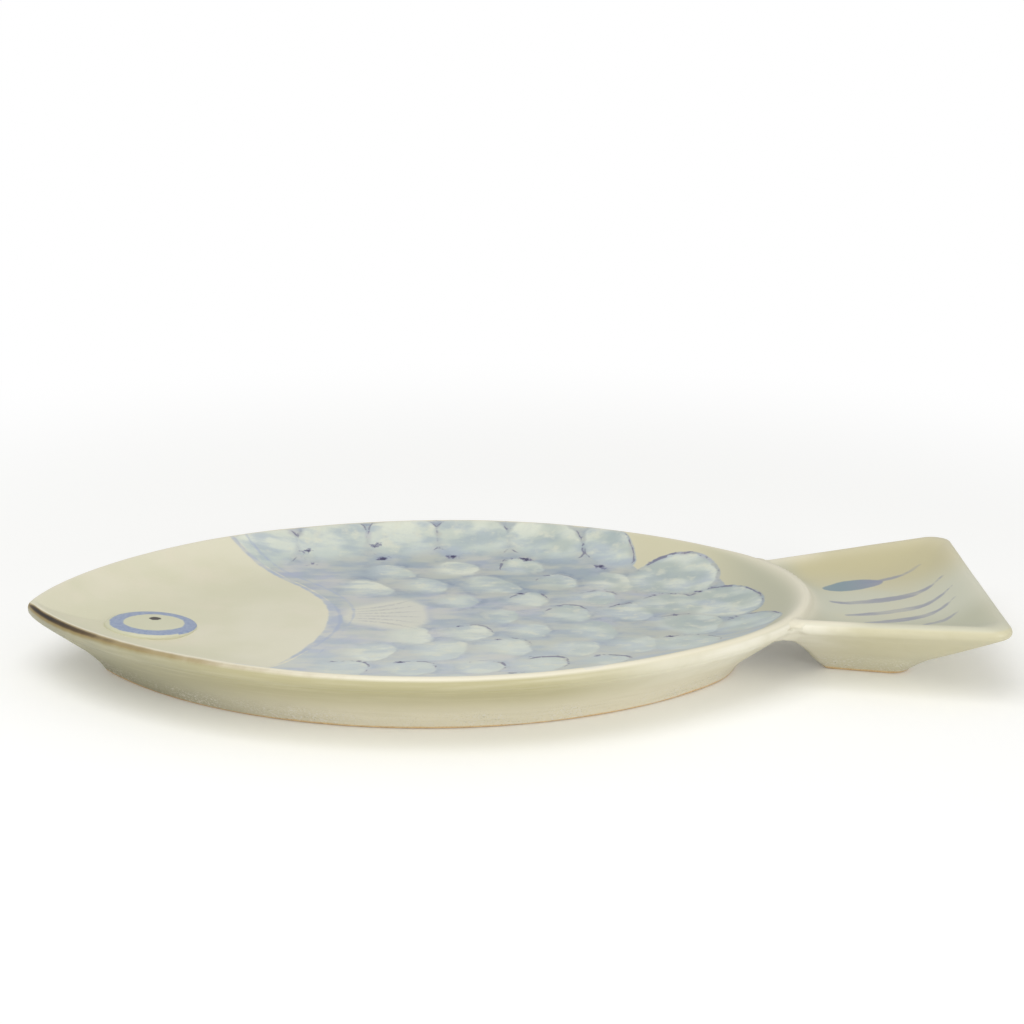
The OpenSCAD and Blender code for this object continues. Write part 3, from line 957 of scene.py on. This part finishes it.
# %% A glaze in the making
class Glaze:
    """A glaze in the making: its nodes, and its colour and its relief so far."""

    def __init__(self, name):
        self.material = bpy.data.materials.new(name)
        self.tree = blank_tree(self.material)
        place = add_node(self.tree, "TexCoord", output="Object")
        to_mm = {"Vector": place, "Scale": (1000, 1000, 1000)}
        self.mm = add_node(self.tree, "Mapping", to_mm)
        self.along = add_node(self.tree, "SeparateXYZ", {"Vector": self.mm}, "X")
        self.aside = self.along.node.outputs["Y"]
        self.cloud = self.drift(70, seed=3)
        self.patch = self.drift(26, seed=11)
        self.waver = self.drift(7, seed=5)
        self.fine = self.drift(1.6, detail=4, seed=8)
        self.grain = self.drift(0.7, detail=2, seed=1)
        self.brushed = self.drift(11, detail=4, rough=0.5, seed=71, stretch=(0.6, 1.3, 1.0))
        self.height, self.outside = self.mark("height"), self.mark("outside")
        self.relief = self.plus(self.times(self.fine, 0.05), self.times(self.waver, 0.12))

    def drift(self, size, detail=3.0, rough=0.55, seed=0.0, stretch=(1, 1, 1)):
        """A noise with patches of about that size in millimetres."""
        moved = {"Vector": self.mm, "Location": (seed, 2 * seed, seed), "Scale": stretch}
        moved = add_node(self.tree, "Mapping", moved)
        pattern = {"Vector": moved, "Scale": 1 / size, "Detail": detail, "Roughness": rough}
        return add_node(self.tree, "TexNoise", pattern, "Fac")

    def mark(self, name):
        """What a piece's attribute says."""
        return add_node(self.tree, "Attribute", None, "Fac", attribute_name=name)

    def maths(self, operation, *values):
        return add_node(self.tree, "Math", dict(enumerate(values)), operation=operation)

    def times(self, a, b):
        return self.maths("MULTIPLY", a, b)

    def plus(self, a, b):
        return self.maths("ADD", a, b)

    def unsteady(self, value, noise, by):
        """A value that a noise moves to and fro, so that an edge made from it wavers."""
        return self.plus(value, self.times(self.maths("SUBTRACT", noise, 0.5), by))

    def between(self, value, low, high, to_low=0.0, to_high=1.0):
        """Goes smoothly from to_low to to_high while the value goes from low to high."""
        ends = {"From Min": low, "From Max": high, "To Min": to_low, "To Max": to_high}
        inputs = {"Value": value, **ends}
        return add_node(self.tree, "MapRange", inputs, interpolation_type="SMOOTHSTEP")

    def layers(self, tone, *laid):
        """A tone with others laid over it, each by its share."""
        for share, above in laid:
            tones = [linear(c) if isinstance(c, str) else c for c in (tone, above)]
            inputs = {0: share, 6: tones[0], 7: tones[1]}
            tone = add_node(self.tree, "Mix", inputs, 2, data_type="RGBA")
        return tone

    def paint(self, share, tone):
        """Lays a tone over the colour so far."""
        self.colour = self.layers(self.colour, (share, tone))

    def lift(self, share, amount):
        """Adds to the relief so far, or takes away from it."""
        self.relief = self.plus(self.relief, self.times(share, amount))

# %% [markdown]
# The bare glaze
#
# Inside, it is cream that drifts to a greener and a warmer tone. Towards the tail it ran thicker:
# olive. At the end of the well, where the slope turns from the light, it is painted greyer: painted
# shade. Outside, it is olive, painted paler from under the lip down to the foot as painted floor
# bounce, painted darker and greyer towards the snout and paler towards the tail end as painted
# light from the front right, and faintly streaked along the wall.

# %% The bare glaze
def pour_inside(g):
    g.colour = g.layers(
        "dfdbc3",
        (g.between(g.cloud, 0.35, 0.65), "d7d4b8"),
        (g.between(g.patch, 0.45, 0.75, 0, 0.35), "e4dac6"),
        (g.between(g.fine, 0.55, 0.8, 0, 0.12), "f0eddf"),
        (g.between(g.along, 35, 80, 0, 0.85), "cec9a9"),
        # Painted shade: the end of the well, where its slope turns from the light, is painted greyer.
        (g.between(g.along, 92, 128, 0, 0.8), "b3b49e"),
    )
    on_tail = g.layers(
        "d0ccb0",
        (g.between(g.cloud, 0.4, 0.6), "cccdb9"),
        (g.between(g.aside, 5, 50, 0, 0.9), "c7be94"),
        (g.between(g.aside, -15, -45, 0, 0.9), "babba3"),
    )
    g.paint(g.between(g.along, 134, 150, 0, 0.95), on_tail)


def pour_outside(g):
    streaks = g.drift(2.2, detail=3, seed=51, stretch=(0.06, 0.06, 1.0))
    at_tail = g.between(g.along, 132, 165)
    # Painted floor bounce: the tone that the wall is painted towards the foot, paler than under the lip.
    painted_floor_bounce = g.layers("bebb9f", (g.between(g.along, -190, -70), "f6f0da"), (at_tail, "e3dfc6"))
    outer = g.layers(
        "adaa90",
        # Painted light from the front right: the wall is darker and greyer towards the snout and paler
        # towards the tail end.
        (g.between(g.along, -200, -110), "bdb68d"),
        (g.between(g.along, 0, 100), "ece8d6"),
        (at_tail, "d2ccac"),
        (g.between(g.patch, 0.4, 0.7, 0, 0.35), "bdb68e"),
        # Painted floor bounce: the wall is painted paler from under the lip down to the foot.
        (g.between(g.height, 25, 6, 0, 0.95), painted_floor_bounce),
        (g.between(streaks, 0.45, 0.7, 0, 0.25), "dad4b6"),
    )
    g.paint(g.outside, outer)

# %% [markdown]
# Wash, slip and cobalt
#
# A wash is thin: it wavers at its edge, is uneven as the brush left it, and goes dark where it
# pools beside a dab. Slip is thick, so it stands up a little. Cobalt is drawn with a fine brush
# that skips, and sinks into the glaze as dark specks where it collects.

# %% Wash, slip and cobalt
def lay_wash(g):
    """The blue wash. Gives back how far a point is inside the wash, and inside a scale."""
    shore = g.unsteady(g.mark("wash"), g.waver, 0.6)
    wander = g.plus(g.times(g.waver, 4.0), g.times(g.brushed, 7.0))
    edge = g.plus(g.mark("scale_edge"), g.maths("SUBTRACT", wander, 5.5))
    pooling = g.times(g.between(edge, -6.0, -0.5), g.between(g.waver, 0.4, 0.6))
    blue = g.layers(
        "a4b0b9",
        (g.between(g.patch, 0.4, 0.6), "abb2c2"),
        (g.between(g.cloud, 0.45, 0.65, 0, 0.7), "96a5ac"),
        (g.times(pooling, 0.8), "8896a9"),
        (g.between(g.aside, 0, -70, 0, 0.45), "ccd4d4"),
    )
    depth = g.between(g.brushed, 0.35, 0.65, 0.55, 1.0)
    g.paint(g.times(g.between(shore, 0.25, 0.75), depth), blue)
    return shore, edge


def lay_slip(g, shore, edge):
    """The pale dabs of the scales."""
    mottle = g.between(g.drift(17, detail=1.5, seed=81), 0.38, 0.64, 0, 0.75)
    slip = g.layers(
        "c5d0ca",
        (g.mark("scale_tone"), "e3e6d4"),
        (g.between(g.brushed, 0.42, 0.66, 0, 0.75), "b0bcc4"),
        (g.times(mottle, g.between(g.along, -60, 90, 0.35, 1.0)), "a3b1ac"),
        (g.between(g.aside, 0, -70, 0, 0.35), "dde3da"),
        (g.between(g.waver, 0.5, 0.72, 0, 0.6), "e0e0cb"),
    )
    laid = g.between(g.maths("DIVIDE", edge, g.mark("scale_soft")), -1.0, 1.0)
    covering = g.times(laid, g.between(g.fine, 0.2, 0.6, 0.76, 0.92))
    g.paint(g.times(covering, g.between(shore, 0.1, 0.4)), slip)
    g.lift(laid, 0.12)


def brush_fin(g):
    """The fin: bare glaze with thin ribs."""
    edge = g.unsteady(g.mark("fin_edge"), g.brushed, 10.0)
    g.paint(g.between(edge, -2.0, 3.5, 0, 0.85), "d8d7c6")
    rib = g.between(g.mark("fin_line"), -0.5, 0.6, 0, 0.5)
    g.paint(g.times(rib, g.between(g.fine, 0.35, 0.6, 0.2, 1.0)), "a5a5a8")
    g.lift(rib, -0.2)


def draw_outlines(g):
    """Thin violet outlines that skip, and the specks where the cobalt pooled."""
    hair = g.plus(g.unsteady(g.mark("scale_edge"), g.waver, 3.0), 0.6)
    weight = g.mark("outline")
    thin = g.maths("SUBTRACT", g.times(weight, 0.75), g.maths("ABSOLUTE", hair))
    drawn = g.times(g.between(thin, -0.35, 0.3), g.between(weight, 0.02, 0.2))
    skips = g.between(g.drift(6, seed=21), 0.44, 0.56)
    g.paint(g.times(drawn, g.times(skips, 0.75)), "625e7e")
    speck = g.unsteady(g.mark("speck"), g.drift(2.4, detail=4, seed=61), 5.0)
    g.paint(g.between(speck, -0.4, 0.3, 0, 0.6), "6a6a92")
    g.paint(g.between(speck, 0.2, 1.0, 0, 0.92), "2c2854")


def brush_lines(g, tone):
    """The gill line or the tail strokes."""
    edge = g.unsteady(g.mark("line"), g.waver, 2.2)
    watery = g.between(g.brushed, 0.35, 0.6, 0.5, 1.0)
    g.paint(g.times(g.between(edge, -0.5, 0.9, 0, 0.85), watery), tone)

# %% [markdown]
# A mark's nodes are made only for a piece that has the mark.

# %% The marks of each piece
def paint_body(g):
    lay_slip(g, *lay_wash(g))
    brush_fin(g)
    draw_outlines(g)
    brush_lines(g, "a3afc4")


def paint_tail(g):
    brush_lines(g, "8f92a2")
    edge = g.unsteady(g.mark("drop"), g.waver, 1.4)
    tone = g.layers("77909d", (g.between(g.along, 160, 186), "8b90a6"))
    g.paint(g.between(edge, -0.3, 0.8, 0, 0.92), tone)


def paint_eye(g):
    g.paint(0.5, "c9cbac")
    edge = g.unsteady(g.mark("ring"), g.waver, 2.2)
    tone = g.layers("7f90b6", (g.between(g.fine, 0.35, 0.65), "94a3be"))
    g.paint(g.between(edge, -0.3, 0.7, 0, 0.93), tone)
    spot = g.unsteady(g.mark("pupil"), g.fine, 1.2)
    g.paint(g.between(spot, -0.2, 0.5), "2a211c")

# %% [markdown]
# The fire
#
# Over the lip a pale line is painted along the crest: partly the glaze running thin, partly a
# painted highlight. In the kiln iron comes through as gold, brown and nearly black. Near the foot it
# has pits and small crystals. The foot itself was wiped clean, so its clay is bare, warm and
# rougher. IOR 1.5 and a roughness near 0.4 suit a satin glaze.

# %% The fire
def paint_lip_highlight_and_iron(g):
    # A pale line along the crest: partly the glaze running thin, partly a painted highlight.
    g.paint(g.times(g.mark("crest"), g.between(g.along, 146, 165, 0.75, 0.3)), "efe8d2")
    iron = g.unsteady(g.mark("iron"), g.waver, 0.2)
    g.paint(g.between(iron, 0.08, 0.45, 0, 0.8), "927a3a")
    g.paint(g.between(iron, 0.40, 0.75, 0, 0.92), "402a04")
    g.paint(g.between(iron, 0.7, 0.95, 0, 0.97), "140c03")


def wipe_foot(g):
    """Pits, crystals and bare clay. Gives back the share of bare clay."""
    low = g.times(g.between(g.height, 14, 6), g.between(g.drift(30, seed=31), 0.4, 0.6, 0.3, 1.0))
    low = g.times(low, g.outside)
    pit = g.times(g.between(g.grain, 0.60, 0.70), low)
    crystal = g.times(g.between(g.drift(1.1, detail=2, seed=41), 0.52, 0.62), low)
    g.paint(g.times(pit, 0.5), "98936f")
    g.paint(g.times(crystal, 0.8), "f8f4ea")
    g.lift(pit, -0.3)
    bare = g.between(g.unsteady(g.height, g.patch, 2.5), 1.6, 0.7)
    g.paint(bare, g.layers("f4daaa", (g.between(g.grain, 0.4, 0.65), "eac792")))
    return bare


def satin_glaze(name, paint_marks=None):
    """The platter's glaze for one kind of piece, with the marks that it has."""
    g = Glaze(name)
    pour_inside(g)
    pour_outside(g)
    if paint_marks:
        paint_marks(g)
    paint_lip_highlight_and_iron(g)
    bare = wipe_foot(g)
    surface = {"Height": g.relief, "Strength": 0.6, "Distance": 0.001}
    bump = add_node(g.tree, "Bump", surface)
    rough = g.plus(g.between(g.cloud, 0.3, 0.7, 0.36, 0.46), g.times(bare, 0.35))
    shader = add_node(
        g.tree, "BsdfPrincipled",
        {"Base Color": g.colour, "Roughness": rough, "IOR": 1.5, "Normal": bump,
         "Coat Weight": 0.08, "Coat Roughness": 0.25, "Coat IOR": 1.5},
    )
    add_node(g.tree, "OutputMaterial", {"Surface": shader})
    return g.material


finishes = {
    "body_dish": satin_glaze("satin_stoneware_glaze_body", paint_body),
    "tail_dish": satin_glaze("satin_stoneware_glaze_tail", paint_tail),
    "eye_disc": satin_glaze("satin_stoneware_glaze_eye", paint_eye),
    "foot": satin_glaze("satin_stoneware_glaze_foot"),
}
for node, (piece, _) in pieces.items():
    piece.data.materials.append(finishes["foot" if "foot" in node else node])
for node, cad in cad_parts.items():
    cad.data.materials.clear()
    cad.data.materials.append(finishes["foot"])
print("finishes:", sorted(m.name for m in finishes.values()))

# %% [markdown]
# Floor, light and camera
#
# The photo has a plain white background. A pale floor keeps the platter's soft shadow, which shows
# that it stands on its feet, and fades to white away from it.

# %% The floor
bm = bmesh.new()
bmesh.ops.create_grid(bm, x_segments=2, y_segments=2, size=4)
floor_mesh = bpy.data.meshes.new("floor")
bm.to_mesh(floor_mesh)
bm.free()
floor = bpy.data.objects.new("floor", floor_mesh)
bpy.context.scene.collection.objects.link(floor)

paper = bpy.data.materials.new("matt_white_paper")
tree = blank_tree(paper)
WHITE = (1, 1, 1, 1)
spot = add_node(tree, "TexCoord", output="Object")
reach = add_node(tree, "VectorMath", {0: spot}, "Value", operation="LENGTH")
fade = {"Value": reach, "From Min": 0.30, "From Max": 0.62}
fade = add_node(tree, "MapRange", fade, interpolation_type="SMOOTHSTEP")
diffuse = add_node(tree, "BsdfDiffuse", {"Color": linear("f8f8f6")})
lift = add_node(tree, "Emission", {"Color": WHITE, "Strength": 0.12})
lifted_floor = add_node(tree, "AddShader", {0: diffuse, 1: lift})
white = add_node(tree, "Emission", {"Color": WHITE, "Strength": 1.0})
seen = add_node(tree, "MixShader", {0: fade, 1: lifted_floor, 2: white})
camera_ray = add_node(tree, "LightPath", output="Is Camera Ray")
both = add_node(tree, "MixShader", {0: camera_ray, 1: diffuse, 2: seen})
add_node(tree, "OutputMaterial", {"Surface": both})
floor_mesh.materials.append(paper)
print("floor:", [round(side, 2) for side in floor.dimensions], "metres")

# %% [markdown]
# The photo's light is even: a wide soft light from above, a smaller one low in front that shows
# the foot, and a white surround. The camera sees plain white where the surround is.

# %% The light
world = bpy.data.worlds.new("surround")
bpy.context.scene.world = world
tree = blank_tree(world)
camera_ray = add_node(tree, "LightPath", output="Is Camera Ray")
soft = add_node(tree, "Background", {"Color": WHITE, "Strength": 0.60})
plain_white = add_node(tree, "Background", {"Color": WHITE, "Strength": 1.0})
shown = add_node(tree, "MixShader", {0: camera_ray, 1: soft, 2: plain_white})
add_node(tree, "OutputWorld", {"Surface": shown})

for name, place, size, power in (
    ("softbox_above", (-0.45, -0.7, 1.5), 1.4, 12.0),
    ("softbox_front", (0.9, -1.6, 0.3), 0.6, 8.0),
):
    lamp = bpy.data.lights.new(name, "AREA")
    lamp.shape = "SQUARE"
    lamp.size = size
    lamp.energy = power
    holder = bpy.data.objects.new(name, lamp)
    holder.location = place
    towards = Vector((0, 0, 0.02)) - Vector(place)
    holder.rotation_euler = towards.to_track_quat("-Z", "Y").to_euler()
    bpy.context.scene.collection.objects.link(holder)
    print(name, "is", size, "metres wide")

# %% [markdown]
# The camera stands low, sixteen degrees above the table and a little to the left of square, with
# a long lens. Its lens, place and turn come from a fit of the part's outline to the photo's.

# %% The camera
camera_data = bpy.data.cameras.new("photo_view")
camera_data.sensor_width = 36
camera_data.lens = 126.2
camera = bpy.data.objects.new("photo_view", camera_data)
turn = Matrix.Rotation(math.radians(-4.84), 4, "Z") @ Matrix.Rotation(math.radians(74.11), 4, "X")
camera.matrix_world = (
    Matrix.Translation((-0.1325, -1.5961, 0.5297)) @ turn @ Matrix.Rotation(math.radians(0.43), 4, "Z")
)
bpy.context.scene.collection.objects.link(camera)
bpy.context.scene.camera = camera
bpy.context.scene.view_settings.view_transform = "Standard"
print("lens of", camera_data.lens, "mm")
